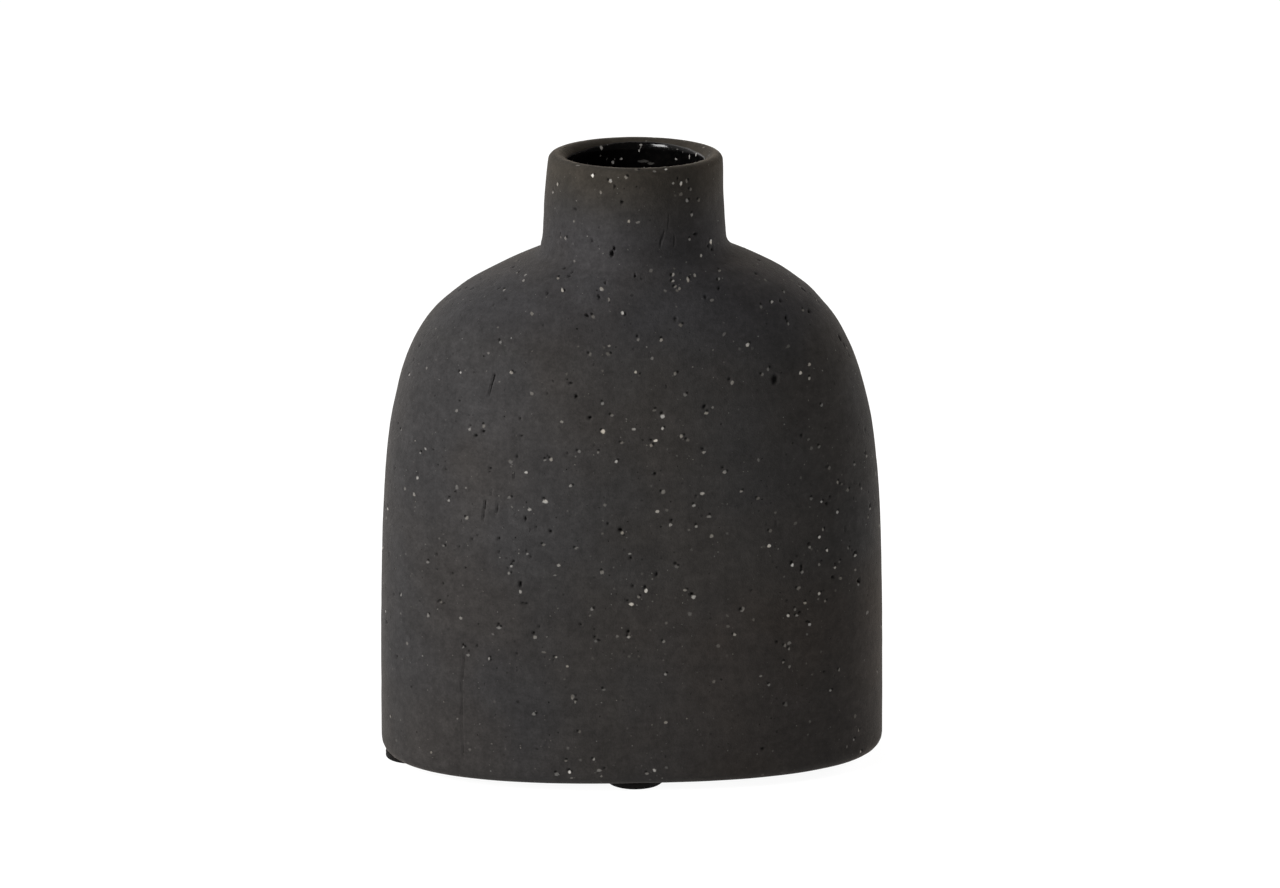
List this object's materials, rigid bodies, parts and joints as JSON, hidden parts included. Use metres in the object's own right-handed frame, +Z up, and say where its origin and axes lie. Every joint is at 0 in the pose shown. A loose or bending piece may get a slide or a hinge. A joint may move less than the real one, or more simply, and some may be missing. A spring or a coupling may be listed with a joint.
{
  "type": "bud vase",
  "caption": "Flattened oval stoneware bud vase with rounded shoulders, a short round neck, a black glaze lining and stick-on foot pads.",
  "frame": {"origin": "centre of the footprint, on the plane that the foot pads stand on", "axes": "+Z up along the neck; X along the long axis of the oval; the front seen in the picture faces -Y"},
  "size_m": [0.1276, 0.0702, 0.155],
  "materials": {
    "clay": "unglazed charcoal stoneware, fine sandy grain, pale grog flecks and small pits",
    "glaze": "glossy black glaze with pale flecks",
    "pad": "solid black rubber, matte",
    "adhesive": "thin clear-grey pressure-sensitive adhesive film"
  },
  "bodies": {
    "root": {"stoneware_body": "clay", "glaze_lining": "glaze", "foot_pad_front": "pad", "foot_pad_left": "pad", "foot_pad_right": "pad", "foot_pad_back": "pad", "pad_adhesive_front": "adhesive", "pad_adhesive_left": "adhesive", "pad_adhesive_right": "adhesive", "pad_adhesive_back": "adhesive"}
  },
  "joints": []
}
